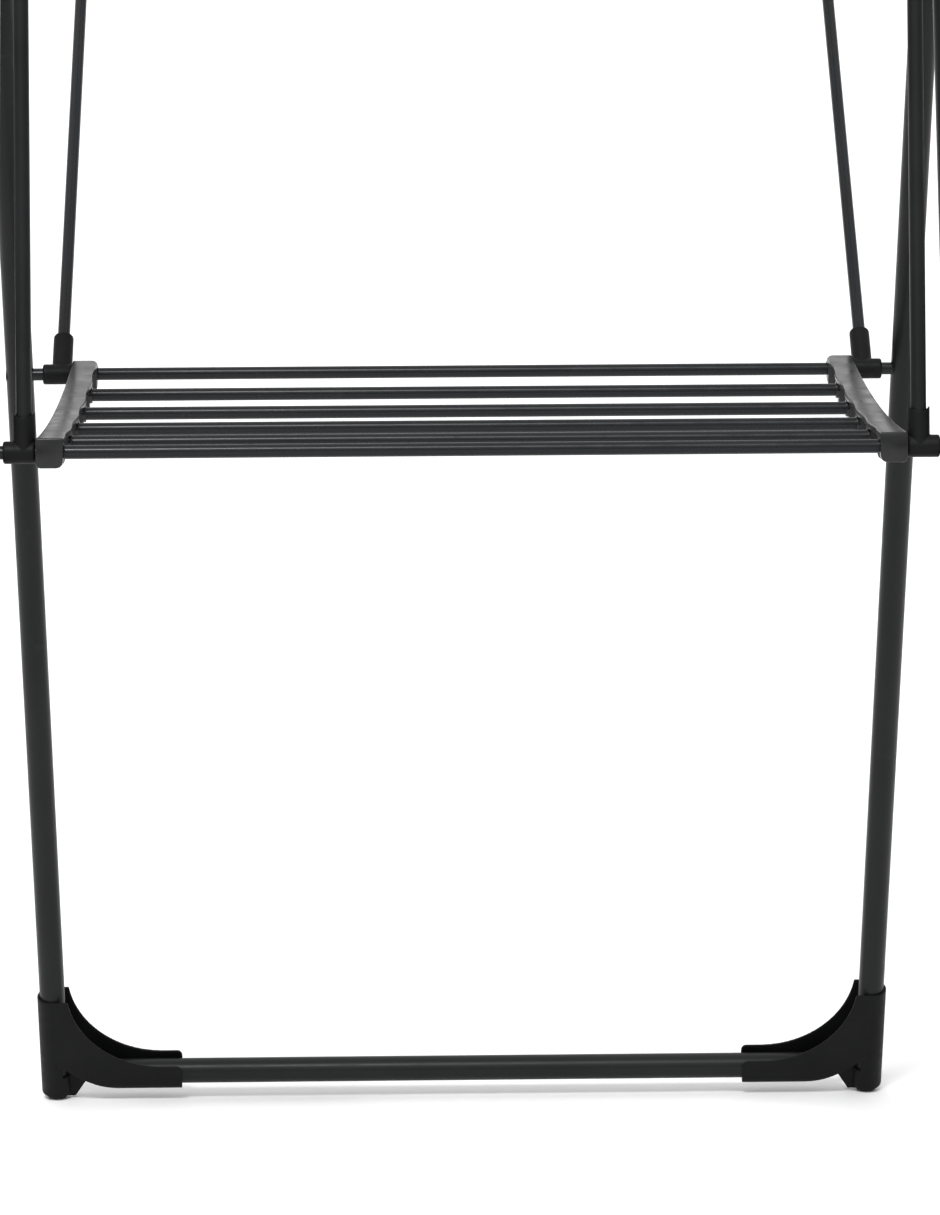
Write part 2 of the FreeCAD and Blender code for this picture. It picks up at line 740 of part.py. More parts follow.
def post_clip(side):
    """Collar on a front leg whose arm ends in an open cradle for the post."""
    sign = SIDES[side]
    rise = size("clip_rise")
    spread = size("lean_angle") - size("post_lean")
    out = rise * math.tan(math.radians(spread))
    inward = size("front_half_width") - size("tee_half_width")
    direction = 1 if sign < 0 else -1
    body = new_body("PostClip")
    width = size("clip_arm")
    target = (-direction * inward, out)
    length = math.hypot(*target)
    side_step = (target[1] / length * width, -target[0] / length * width)
    arm = outline(body, "XY_Plane", "Arm", polygon([
        side_step, (target[0] + side_step[0], target[1] + side_step[1]),
        (target[0] - side_step[0], target[1] - side_step[1]), (-side_step[0], -side_step[1])]))
    pad(body, arm, "{clip_height}")
    collar = disc(body, "XY_Plane", "Collar", (0, 0), "{leg_diameter} + 2 * {clip_wall}")
    pad(body, collar, "{collar_height}")
    cradle_size = "{post_diameter} + 2 * {cradle_wall}"
    pad(body, disc(body, "XY_Plane", "Cradle", target, cradle_size), "{clip_height}")
    leg_bore = disc(body, "XY_Plane", "LegBore", (0, 0), "{leg_diameter}")
    pocket(body, leg_bore, "{collar_height} + 2")
    half = size("post_diameter") / 2 + size("loose_gap")
    left, right = target[0] - half, target[0] + half
    deepest = target[1] - half - size("cradle_depth")
    open_end = target[1] + size("post_diameter") + size("cradle_wall")
    mouth = outline(body, "XY_Plane", "Mouth", [
        arc_between((left, target[1]), (target[0], deepest), (right, target[1])),
        line((right, target[1]), (right + 1, open_end)),
        line((right + 1, open_end), (left - 1, open_end)),
        line((left - 1, open_end), (left, target[1])),
    ])
    pocket(body, mouth, "{collar_height} + 2")
    finish(body, f"post_clip_{side}",
           in_frame("front", sign * size("front_half_width"), size("hinge_offset"),
                    rise - size("axle_to_apex")))


def prop(side):
    """Rod from its tee that turns inward under the wing's corner."""
    sign = SIDES[side]
    body = new_body("Prop")
    bend = size("prop_bend")
    straight = size("prop_length") - size("socket_start") - bend
    stub = size("tee_half_width") - size("wing_half_width") + 5 - bend
    corner = (-sign * bend, straight)
    path = sketch_on(body, "XZ_Plane", "Path")
    middle = on_circle(corner, bend, 45 if sign > 0 else 135)
    top = (corner[0], straight + bend)
    for edge in (line((0, 0), (0, straight)), arc_between((0, straight), middle, top),
                 line(top, (top[0] - sign * stub, top[1]))):
        index = path.addGeometry(edge, False)
        path.addConstraint(Sketcher.Constraint("Block", index))
    section = disc(body, "XY_Plane", "Section", (0, 0), "{prop_diameter}",
                   "{prop_diameter} - 2 * {thin_wall}")
    doc.recompute()
    sweep = body.newObject("PartDesign::AdditivePipe", "Rod")
    sweep.Profile = section
    sweep.Spine = path
    doc.recompute()
    tilt = turn(X_AXIS, size("prop_angle") - 90)
    start = (AXLE_POINT["rear"] + FreeCAD.Vector(sign * size("tee_half_width"), 0, 0)
             + tilt.multVec(FreeCAD.Vector(0, 0, size("socket_start"))))
    finish(body, f"prop_{side}", FreeCAD.Placement(start, tilt))


# ---------------------------------------------------------------- the wing

WING_PIVOT = in_frame("rear", 0, size("hinge_offset") + size("wing_offset"),
                      -size("wing_drop")).Base


def wing_hinge_bracket(side):
    """Collar on a rear leg with the pin on which the wing turns."""
    sign = SIDES[side]
    body = new_body("WingHinge")
    offset = size("wing_offset")
    radius = size("leg_diameter") / 2 + size("clip_wall")
    lug = size("wing_hinge_lug")
    rise = size("wing_hinge_rise")
    side_view = outline(body, "YZ_Plane", "Side", [
        line((-radius, -rise), (radius, -rise)),
        line((radius, -rise), (offset + 2, -lug)),
        arc_between((offset + 2, -lug), (offset + 2 + lug, 0), (offset + 2, lug)),
        line((offset + 2, lug), (radius, rise)),
        line((radius, rise), (-radius, rise)),
        line((-radius, rise), (-radius, -rise)),
    ])
    pad(body, side_view, "{leg_diameter} + 2 * {clip_wall}")
    pin = disc(body, "YZ_Plane", "Pin", (offset, 0), "{pin_diameter}")
    pad(body, pin, "{rear_half_width} - {wing_half_width} + {knuckle_half}",
        middle=False, reverse=sign > 0)
    leg_bore = disc(body, "XY_Plane", "LegBore", (0, 0), "{leg_diameter}")
    pocket(body, leg_bore, "2 * {wing_hinge_rise} + 2")
    finish(body, f"wing_hinge_bracket_{side}",
           in_frame("rear", sign * size("rear_half_width"), size("hinge_offset"),
                    -size("wing_drop")))


def wing_knuckle(side):
    """Moulded end of a wing side, bored for the hinge pin."""
    half = size("knuckle_half")
    barrel = rounded(cylinder("{pin_diameter} + 2 * {knuckle_wall}", "2 * {knuckle_half}",
                              (-half, 0, 0), X_AXIS), 1.5)
    stem = rounded(cylinder("{wing_tube_diameter} + 2 * {socket_wall}", "{knuckle_stem}",
                            (0, 0, 0), Y_AXIS), 1)
    bore = cylinder("{pin_diameter} + 2 * {running_gap}", "2 * {knuckle_half} + 2",
                    (-half - 1, 0, 0), X_AXIS)
    seat = cylinder("{wing_tube_diameter}", "{knuckle_stem}", (0, SIDE_START, 0), Y_AXIS)
    finish(cut(fuse([barrel, stem]), [bore, seat]), f"wing_knuckle_{side}",
           FreeCAD.Placement(WING_PIVOT + FreeCAD.Vector(SIDES[side] * size("wing_half_width"), 0, 0),
                             FreeCAD.Rotation()))


def rod_spacing():
    return size("wing_length") / (WING_RODS + 1)


def wing_side(side):
    """Side tube with a hole in its inner wall for each rod."""
    sign = SIDES[side]
    reach = size("wing_tube_diameter") / 2 + 2
    holes = [(rod_spacing() * (number + 1) - SIDE_START, 0 if sign < 0 else -reach)
             for number in range(WING_RODS)]
    tube = pipe("{wing_tube_diameter}", "{thin_wall}",
                f"{{wing_length}} - {SIDE_START + 10}", holes, "{wing_rod_diameter}", f"{reach}")
    start = WING_PIVOT + FreeCAD.Vector(sign * size("wing_half_width"), SIDE_START, 0)
    finish(tube, f"wing_side_{side}", FreeCAD.Placement(start, turn(X_AXIS, -90)))


def wing_rod(number):
    """One drying rod across the wing."""
    rod = pipe("{wing_rod_diameter}", "{thin_wall}", "2 * {wing_half_width} - 4")
    start = WING_PIVOT + FreeCAD.Vector(-size("wing_half_width") + 2,
                                        rod_spacing() * (number + 1), 0)
    finish(rod, f"wing_rod_{number + 1}", FreeCAD.Placement(start, turn(Y_AXIS, 90)))


def wing_end_bar():
    """The thicker bar across the wing's free end."""
    tube = pipe("{wing_tube_diameter}", "{thin_wall}", "2 * {wing_half_width} - 16")
    start = WING_PIVOT + FreeCAD.Vector(-size("wing_half_width") + 8, size("wing_length"), 0)
    finish(tube, "wing_end_bar", FreeCAD.Placement(start, turn(Y_AXIS, 90)))


def wing_corner(side):
    """Moulded corner of the wing with the catch that sits behind the prop's end."""
    sign = SIDES[side]
    inward = FreeCAD.Vector(-sign, 0, 0)
    start = size("wing_length") - CORNER_LENGTH + 8
    outer = size("wing_tube_diameter") / 2 + size("socket_wall")
    stem = rounded(cylinder("{wing_tube_diameter} + 2 * {socket_wall}", f"{CORNER_LENGTH}",
                            (0, start, 0), Y_AXIS), 1.5)
    arm = rounded(cylinder("{wing_tube_diameter} + 2 * {socket_wall}", "{corner_arm}",
                           (sign * outer, size("wing_length"), 0), inward), 1.5)
    catch = doc.addObject("Part::Box", "Catch")
    bind(catch, "Length", "{catch_width}")
    bind(catch, "Width", "{catch_thickness}")
    bind(catch, "Height", "{catch_height}")
    prop_end = (AXLE_POINT["rear"].y - WING_PIVOT.y
                + size("prop_length") * math.cos(math.radians(size("prop_angle"))))
    behind = prop_end + size("prop_diameter") / 2 + size("catch_gap")
    catch.Placement = FreeCAD.Placement(
        FreeCAD.Vector(-size("catch_width") / 2, behind, -size("catch_height") - 1),
        FreeCAD.Rotation())
    side_seat = cylinder("{wing_tube_diameter}", f"{CORNER_LENGTH - 18}",
                         (0, start, 0), Y_AXIS)
    bar_seat = cylinder("{wing_tube_diameter}", "{corner_arm}",
                        (-sign * 8, size("wing_length"), 0), inward)
    finish(cut(fuse([stem, arm, catch]), [side_seat, bar_seat]), f"wing_corner_{side}",
           FreeCAD.Placement(WING_PIVOT + FreeCAD.Vector(sign * size("wing_half_width"), 0, 0),
                             FreeCAD.Rotation()))


# ---------------------------------------------------------------- assembly

def build():
    for frame in FRAMES:
        for side in SIDES:
            leg(frame, side)
            foot_bracket(frame, side)
            foot_pad(frame, side)
            apex_housing(frame, side)
        base_tube(frame)
        top_tube(frame)
        bracket_screws(frame)
        axle(frame)
    apex_pins()
    for number in range(1, SHELF_RODS - 1):
        shelf_rod(number)
    for side in SIDES:
        shelf_end(side)
        tee(f"rail_tee_{side}", side, "front", -size("post_lean"), "{post_socket}",
            "{post_diameter}", open_rim())
        rail_post(side)
        rail_elbow(side)
        post_clip(side)
        tee(f"prop_tee_{side}", side, "rear", size("prop_angle") - 90, "{prop_socket}",
            "{prop_diameter}")
        prop(side)
        wing_hinge_bracket(side)
        wing_knuckle(side)
        wing_side(side)
        wing_corner(side)
    hanging_rail()
    for number in range(WING_RODS):
        wing_rod(number)
    wing_end_bar()


def check_and_export():
    """Refuse a failed feature or a bad shape, then write one STEP file per piece."""
    doc.recompute()
    for item in doc.Objects:
        if "Invalid" in item.State or "Error" in item.State:
            raise RuntimeError(f"{item.Label} failed: {item.State}")
    os.makedirs("parts", exist_ok=True)
    for item in parts:
        shape = item.Shape
        if shape.isNull() or not shape.isValid():
            raise RuntimeError(f"{item.Label} has a bad shape")
        shape.exportStep(f"parts/{item.Label}.step")
    print(f"{len(parts)} parts written")


build()
check_and_export()
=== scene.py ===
"""Looks of the folding drying rack: satin powder coat, moulded plastic and rubber on the CAD frame.

Everything is in metres, in the frame's own axes: +Z up, -Y the rack's front, the floor at z = 0.
"""
import json
import math

import bmesh
import bpy
from mathutils import Matrix, Vector


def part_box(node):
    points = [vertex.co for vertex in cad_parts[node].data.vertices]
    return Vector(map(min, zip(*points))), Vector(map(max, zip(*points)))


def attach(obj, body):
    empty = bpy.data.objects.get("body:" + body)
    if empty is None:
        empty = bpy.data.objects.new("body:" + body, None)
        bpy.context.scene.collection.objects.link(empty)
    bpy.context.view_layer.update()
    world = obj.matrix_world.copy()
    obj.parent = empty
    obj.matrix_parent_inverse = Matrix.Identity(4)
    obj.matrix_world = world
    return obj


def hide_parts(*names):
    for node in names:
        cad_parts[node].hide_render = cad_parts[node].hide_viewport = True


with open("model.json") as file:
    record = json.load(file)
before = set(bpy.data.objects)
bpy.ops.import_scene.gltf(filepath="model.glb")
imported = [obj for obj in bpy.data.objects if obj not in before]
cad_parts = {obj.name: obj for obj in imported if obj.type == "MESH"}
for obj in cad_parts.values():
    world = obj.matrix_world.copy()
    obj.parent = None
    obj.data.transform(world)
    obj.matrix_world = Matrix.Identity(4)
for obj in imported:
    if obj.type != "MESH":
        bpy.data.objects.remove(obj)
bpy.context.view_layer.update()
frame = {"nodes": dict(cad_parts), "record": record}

NODES = frame["nodes"]


def middle(name):
    """The middle of a CAD node's box."""
    low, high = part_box(name)
    return (Vector(low) + Vector(high)) / 2


FRONT_AXLE = middle("front_axle")
REAR_AXLE = middle("rear_axle")


# ---------------------------------------------------------------- materials

RUB_AND_HIGHLIGHT_START = 0.545       # pointiness at which an edge starts to be painted lighter, as rubbed wear and as a painted edge highlight
RUB_AND_HIGHLIGHT_FULL = 0.62         # and at which it is fully lightened
RUB_AND_HIGHLIGHT_GAIN = 1.9          # how much lighter the rubbed edge with its painted highlight is
RUB_AND_HIGHLIGHT_LIFT = 0.004


class Recipe:
    """A small helper that adds nodes to one material and links them."""

    def __init__(self, name):
        self.material = bpy.data.materials.new(name)
        self.material.use_nodes = True
        self.tree = self.material.node_tree
        self.shader = self.tree.nodes["Principled BSDF"]
        self.place = self.add("ShaderNodeTexCoord").outputs["Object"]

    def add(self, kind, **settings):
        node = self.tree.nodes.new(kind)
        for key, value in settings.items():
            setattr(node, key, value)
        return node

    def link(self, source, target):
        self.tree.links.new(source, target)

    def noise(self, scale, detail=3.0, roughness=0.5):
        """Noise in the object's own space."""
        noise = self.add("ShaderNodeTexNoise")
        noise.inputs["Scale"].default_value = scale
        noise.inputs["Detail"].default_value = detail
        noise.inputs["Roughness"].default_value = roughness
        self.link(self.place, noise.inputs["Vector"])
        return noise.outputs["Fac"]

    def ramp(self, source, low, high, stops):
        """A colour ramp between two positions of its source."""
        ramp = self.add("ShaderNodeValToRGB")
        ramp.color_ramp.elements[0].position = low
        ramp.color_ramp.elements[1].position = high
        ramp.color_ramp.elements[0].color = (*stops[0], 1)
        ramp.color_ramp.elements[1].color = (*stops[1], 1)
        self.link(source, ramp.inputs["Fac"])
        return ramp.outputs["Color"]

    def span(self, source, low, high, bottom, top):
        """Map a source's range to another range."""
        node = self.add("ShaderNodeMapRange")
        for socket, value in zip(("From Min", "From Max", "To Min", "To Max"),
                                 (low, high, bottom, top)):
            node.inputs[socket].default_value = value
        self.link(source, node.inputs["Value"])
        return node.outputs["Result"]

    def mix(self, factor, first, second):
        """Mix two colours by a factor."""
        node = self.add("ShaderNodeMix", data_type="RGBA")
        self.link(factor, node.inputs["Factor"])
        self.link(first, node.inputs["A"])
        if isinstance(second, tuple):
            node.inputs["B"].default_value = (*second, 1)
        else:
            self.link(second, node.inputs["B"])
        return node.outputs["Result"]

    def bump(self, height, distance, strength=1.0, below=None):
        node = self.add("ShaderNodeBump")
        node.inputs["Distance"].default_value = distance
        node.inputs["Strength"].default_value = strength
        self.link(height, node.inputs["Height"])
        if below:
            self.link(below, node.inputs["Normal"])
        return node.outputs["Normal"]

    def rubbed_and_highlit_edges(self):
        """How much an edge sticks out, for plastic painted lighter there: rubbed wear and a painted
        edge highlight.
        """
        geometry = self.add("ShaderNodeNewGeometry")
        return self.span(geometry.outputs["Pointiness"], RUB_AND_HIGHLIGHT_START, RUB_AND_HIGHLIGHT_FULL, 0.0, 1.0)


def powder_coat(name, dark, light, worn, roughness, gloss):
    """Satin powder coat: fine orange peel, soft tone changes and a few lighter scuffs."""
    recipe = Recipe(name)
    cloud = recipe.noise(9.0, 4.0)
    grain = recipe.noise(1400.0, 2.0)
    peel = recipe.noise(520.0, 2.0)
    base = recipe.ramp(cloud, 0.35, 0.68, (dark, light))
    scuffs = recipe.span(recipe.noise(38.0, 6.0, 0.65), 0.64, 0.80, 0.0, 0.55)
    colour = recipe.mix(scuffs, base, worn)
    recipe.link(colour, recipe.shader.inputs["Base Color"])
    recipe.link(recipe.span(recipe.noise(60.0, 3.0), 0.3, 0.7, roughness - 0.05, roughness + 0.06),
                recipe.shader.inputs["Roughness"])
    fine = recipe.bump(grain, 0.00001, 0.2)
    recipe.link(recipe.bump(peel, 0.00002, 0.2, fine), recipe.shader.inputs["Normal"])
    recipe.shader.inputs["Specular IOR Level"].default_value = gloss
    return recipe.material


def moulded(name, dark, light, roughness, gloss, grain_depth):
    """Matte moulded plastic with a spark-eroded grain."""
    recipe = Recipe(name)
    cloud = recipe.noise(24.0, 4.0)
    base = recipe.ramp(cloud, 0.35, 0.7, (dark, light))
    # sharp edges are painted lighter: partly rubbed wear, partly a painted highlight along the edge
    rub_and_highlight = recipe.rubbed_and_highlit_edges()
    worn = tuple(part * RUB_AND_HIGHLIGHT_GAIN + RUB_AND_HIGHLIGHT_LIFT for part in light)
    recipe.link(recipe.mix(rub_and_highlight, base, worn), recipe.shader.inputs["Base Color"])
    recipe.link(recipe.span(recipe.noise(180.0, 2.0), 0.3, 0.7, roughness - 0.06,
                            roughness + 0.06), recipe.shader.inputs["Roughness"])
    recipe.link(recipe.bump(recipe.noise(2200.0, 2.0), grain_depth, 0.5),
                recipe.shader.inputs["Normal"])
    recipe.shader.inputs["Specular IOR Level"].default_value = gloss
    return recipe.material


def smudged(name, dark, light, roughness, gloss):
    """Semi-gloss moulded plastic with soft flow marks and a faint sheen that varies."""
    recipe = Recipe(name)
    base = recipe.ramp(recipe.noise(24.0, 4.0), 0.35, 0.7, (dark, light))
    recipe.link(base, recipe.shader.inputs["Base Color"])
    recipe.link(recipe.span(recipe.noise(55.0, 3.0), 0.3, 0.7, roughness - 0.05, roughness + 0.08),
                recipe.shader.inputs["Roughness"])
    grain = recipe.bump(recipe.noise(2200.0, 2.0), 0.00001, 0.2)
    recipe.link(recipe.bump(recipe.noise(75.0, 2.0), 0.0001, 0.4, grain),
                recipe.shader.inputs["Normal"])
    recipe.shader.inputs["Specular IOR Level"].default_value = gloss
    return recipe.material


def rubber(name):
    """Dull rubber with dust caught in its surface."""
    recipe = Recipe(name)
    base = recipe.ramp(recipe.noise(140.0, 5.0), 0.4, 0.75,
                       ((0.010, 0.010, 0.010), (0.030, 0.029, 0.028)))
    recipe.link(base, recipe.shader.inputs["Base Color"])
    recipe.link(recipe.span(recipe.noise(300.0), 0.3, 0.7, 0.75, 0.92),
                recipe.shader.inputs["Roughness"])
    recipe.link(recipe.bump(recipe.noise(1500.0), 0.00006, 0.6), recipe.shader.inputs["Normal"])
    return recipe.material


def floor_paint():
    """Pale floor with the faintest unevenness."""
    recipe = Recipe("floor_paint")
    base = recipe.ramp(recipe.noise(1.5, 2.0), 0.2, 0.8, ((0.90, 0.90, 0.90), (0.93, 0.93, 0.93)))
    recipe.link(base, recipe.shader.inputs["Base Color"])
    recipe.link(recipe.span(recipe.noise(4.0), 0.3, 0.7, 0.75, 0.85),
                recipe.shader.inputs["Roughness"])
    return recipe.material


MATERIALS = {
    "tube_paint": powder_coat("charcoal_powder_coat", (0.0085, 0.0091, 0.0094),
                              (0.0115, 0.0121, 0.0125), (0.024, 0.025, 0.026), 0.33, 0.15),
    "rod_paint": powder_coat("black_powder_coat", (0.0070, 0.0078, 0.0092),
                             (0.0088, 0.0097, 0.0112), (0.022, 0.023, 0.025), 0.25, 0.22),
    "moulded_plastic": moulded("moulded_black", (0.0042, 0.0044, 0.0045),
                               (0.0062, 0.0064, 0.0065), 0.50, 0.10, 0.00004),
    "strip_plastic": smudged("moulded_strip", (0.0030, 0.0033, 0.0035),
                             (0.0050, 0.0053, 0.0056), 0.30, 0.42),
    "foot_rubber": rubber("foot_rubber"),
    "fastener_steel": powder_coat("blackened_steel", (0.012, 0.012, 0.013),
                                  (0.020, 0.020, 0.021), (0.07, 0.07, 0.07), 0.34, 0.5),
}


def slot_of(node):
    return next(part["material_slot"] for part in frame["record"]["subparts"]
                if part["node"] == node)


def paint_frame():
    """Give every carried CAD node its slot's finish."""
    for name, item in NODES.items():
        for place in item.material_slots:
            place.material = MATERIALS[slot_of(name)]


# ---------------------------------------------------------------- finer pieces

CAD_WELD = 0.00001      # points of a CAD mesh nearer than this become one
STRIP_WELD = 0.000004   # finer, because a strip's section has points 0.1 mm apart
FLAT_ANGLE = math.radians(1)
EDGE_ANGLE = math.radians(30)


def stand_for(piece, node):
    """Put a finer piece in a CAD node's place: its finish and its body, with the CAD node hidden.
    """
    bodies = frame["record"]["behaviour"]["bodies"]
    piece.data.materials.clear()
    piece.data.materials.append(MATERIALS[slot_of(node)])
    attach(piece, next(body for body, nodes in bodies.items() if node in nodes))
    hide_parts(node)


def new_piece(name, mesh):
    piece = bpy.data.objects.new(name, mesh)
    bpy.context.scene.collection.objects.link(piece)
    return piece


def clean_copy(node):
    """A copy of a CAD node's mesh with its points merged and its flat faces whole."""
    mesh = NODES[node].data.copy()
    work = bmesh.new()
    work.from_mesh(mesh)
    bmesh.ops.remove_doubles(work, verts=work.verts, dist=CAD_WELD)
    bmesh.ops.dissolve_limit(work, angle_limit=FLAT_ANGLE, verts=work.verts,
                             edges=work.edges)
    work.to_mesh(mesh)
    work.free()
    mesh.shade_smooth()
    mesh.set_sharp_from_angle(angle=EDGE_ANGLE)
    return mesh


def softened(node, width):
    """A CAD piece with its sharp edges rounded, as a mould leaves them."""
    piece = new_piece(node + "_moulding", clean_copy(node))
    edge = piece.modifiers.new("edge", "BEVEL")
    edge.width = width
    edge.segments = 3
    edge.limit_method = "ANGLE"
    edge.angle_limit = EDGE_ANGLE
    edge.harden_normals = True
    stand_for(piece, node)


def melted(node, grain, rounds):
    """A CAD piece whose outer edges and inner corners flow together, as in a tight moulding."""
    piece = new_piece(node + "_moulding", clean_copy(node))
    even = piece.modifiers.new("even", "REMESH")
    even.mode = "VOXEL"
    even.voxel_size = grain
    even.use_smooth_shade = True
    soft = piece.modifiers.new("soft", "SMOOTH")
    soft.factor = 0.5
    soft.iterations = rounds
    stand_for(piece, node)


# ---------------------------------------------------------------- shelf strips

STRIP_LOW, STRIP_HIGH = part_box("shelf_end_left")
STRIP_HALF_WIDTH = (STRIP_HIGH[0] - STRIP_LOW[0]) / 2
HALF_STRIP = STRIP_HIGH[1] - REAR_AXLE.y
BAND = 0.0050           # thickness of the strip's top band
BAND_ROOM = 0.0003      # least height between the band and the lower corner
OUTER_WALL = 0.0060     # thickness of the wall under the band, between the ribs
RIB_HALF = 0.0068       # half the length of the rib that holds a rod
RIB_SETBACK = 0.0016
EDGE_STEP = 0.0005
END_SETBACK = 0.0004    # how far in from the band's edge the first and last ribs stop
WAVE = 0.0015           # how far the band's inner edge draws back between rods
SOFT_CORNER = 0.0012
LARGE_CORNER = 0.0048
OUTER_CORNER = 0.0020   # what the lower outer corner gains at the front end
MOST_ROUND = 0.8        # largest share of a height that a corner takes
BAND_LIP = 0.0004       # the band's lower inner edge is broken by this much
BAND_SLOPE = 0.0001     # and its underside falls by this much to the wall
FIRST_RIB_EXTRA = 0.003
LAST_RIB = 0.019
PAST_END = 1.0          # longer than the strip, so that an end rib has no outer limit
FRONT_TURN = (0.93, 0.96)   # stretch of the strip over which its front end changes shape
REAR_TURN = (-0.02, 0.05)
NOSE_STEPS = 8
NOSE_START = 0.995      # how near to its tip the rounded rear end begins
FACE_STEPS = 4
FACE_END = 0.98         # how near to its own full turn the front face's corner goes
STRIP_STEP = 0.004
ROD_GAPS = 5
COLLAR = 0.0066
COLLAR_BURIED = 0.001
COLLAR_PROUD = 0.0004
BORE_RADIUS = 0.00506   # the rear axle's, with its running clearance
HOOK_RADIUS = 0.0054
HOOK_DROP = 0.026       # depth of the hook's mouth below the front axle
HOOK_REACH = (0.022, 0.004)     # how far behind the axle its mouth opens, and where it starts
CUT_PAST = 0.002        # how far a cutter stands out on each side
SHARP_ANGLE = math.radians(38)


class ShelfLine:
    """The shelf's hollow line: an arc from the rear axle to the front one through a rod."""

    def __init__(self, half_height):
        self.half_height = half_height
        start, through, end = (Vector((point.y, point.z)) for point in
                               (REAR_AXLE, middle("shelf_rod_3"), FRONT_AXLE))
        chord = end - start
        across = Vector((-chord.y, chord.x))
        half = (start + end) / 2
        to_point = through - half
        # the centre stands on the chord's bisector, as far from the rod as from the axles
        along = ((to_point.length_squared - chord.length_squared / 4)
                 / (2 * to_point.dot(across)))
        self.centre = half + along * across
        self.radius = (start - self.centre).length
        self.angle = math.asin(chord.length / 2 / self.radius)
        self.length = 2 * self.angle * self.radius

    def at(self, distance):
        """Place, direction and upward normal at a distance from the rear axle."""
        held = min(max(distance, 0.0), self.length)
        angle = held / self.radius - self.angle
        normal = Vector((math.sin(angle), math.cos(angle)))
        along = Vector((-math.cos(angle), math.sin(angle)))
        place = self.centre - self.radius * normal + (distance - held) * along
        return place, along, normal

    def height_at(self, distance):
        """Half height: round at the rear end, square with a small corner at the front one."""
        top = self.half_height
        if distance < 0:
            return math.sqrt(max(top ** 2 - distance ** 2, 0.0))
        beyond = distance - self.length - (top - SOFT_CORNER)
        if beyond > 0:
            return top - SOFT_CORNER + math.sqrt(max(SOFT_CORNER ** 2 - beyond ** 2, 0.0))
        return top


def ease(value, start, end):
    """A smooth step from 0 at start to 1 at end."""
    part = min(max((value - start) / (end - start), 0.0), 1.0)
    return part * part * (3 - 2 * part)


def corner(centre, radius, start):
    """Four points of a quarter turn, clockwise from an angle in degrees."""
    return [(centre[0] + radius * math.cos(math.radians(start - step)),
             centre[1] + radius * math.sin(math.radians(start - step)))
            for step in (0, 30, 60, 90)]


def rib_limits(line):
    """Where each rib starts and ends along the strip; the first holds the rear axle's bore."""
    pitch = line.length / ROD_GAPS
    limits = [(-PAST_END, RIB_HALF + FIRST_RIB_EXTRA)]
    limits += [(pitch * number - RIB_HALF, pitch * number + RIB_HALF)
               for number in range(1, ROD_GAPS)]
    return limits + [(line.length - LAST_RIB, line.length + PAST_END)]


def wall_at(line, distance, edge):
    """How far in the side under the band reaches: to the ribs' faces, or only the outer wall."""
    for number, (start, end) in enumerate(rib_limits(line)):
        if start <= distance <= end:
            ends_strip = number in (0, ROD_GAPS)
            return edge - (END_SETBACK if ends_strip else RIB_SETBACK)
    return OUTER_WALL - STRIP_HALF_WIDTH


def strip_section(line, distance):
    """Section of a strip as points (inward, upward), clockwise seen from its front."""
    height = line.height_at(distance)
    fraction = distance / line.length
    wave = 0.5 - 0.5 * math.cos(2 * math.pi * fraction * ROD_GAPS)
    edge = STRIP_HALF_WIDTH - WAVE * wave * ease(fraction, 0, 0.1) * ease(-fraction, -1, -0.9)
    wall = wall_at(line, distance, edge)
    front = ease(fraction, *FRONT_TURN)
    rear = 1 - ease(fraction, *REAR_TURN)
    small = min(SOFT_CORNER, height * MOST_ROUND)
    top_inner = min(small + (LARGE_CORNER - small) * rear, height * MOST_ROUND)
    room = min(height, (wall + STRIP_HALF_WIDTH) / 2) * MOST_ROUND
    low_inner = min(small + (LARGE_CORNER - small) * front, room)
    low_outer = min(small + OUTER_CORNER * front, room)
    # kept above the lower corner, or the section folds back on itself at the rounded rear end
    under_band = max(height - BAND, low_inner - height + BAND_ROOM)
    outer = -STRIP_HALF_WIDTH
    return (corner((outer + small, height - small), small, 180)
            + corner((edge - top_inner, height - top_inner), top_inner, 90)
            + [(edge, min(under_band + BAND_LIP, height - top_inner)),
               (edge - BAND_LIP, min(under_band, height - top_inner)),
               (wall, min(under_band, height - top_inner) - BAND_SLOPE)]
            + corner((wall - low_inner, low_inner - height), low_inner, 0)
            + corner((outer + low_outer, low_outer - height), low_outer, 270))


def strip_stations(line):
    """Distances along a strip, closer together round its two ends."""
    end = line.half_height
    rear = [-end * math.cos(math.radians(90 * step / NOSE_STEPS)) * NOSE_START
            for step in range(NOSE_STEPS)]
    count = round(line.length / STRIP_STEP)
    steps = [line.length * step / count for step in range(count + 1)]
    edges = [edge for limits in rib_limits(line) for edge in limits if 0 < edge < line.length]
    run = [step for step in steps if all(abs(step - edge) > 2 * EDGE_STEP for edge in edges)]
    run += [edge + shift for edge in edges for shift in (-EDGE_STEP, EDGE_STEP)]
    run.sort()
    face = line.length + end - SOFT_CORNER
    front = [face + SOFT_CORNER * math.sin(math.radians(90 * step / FACE_STEPS)) * FACE_END
             for step in range(FACE_STEPS + 1)]
    return rear + run + front


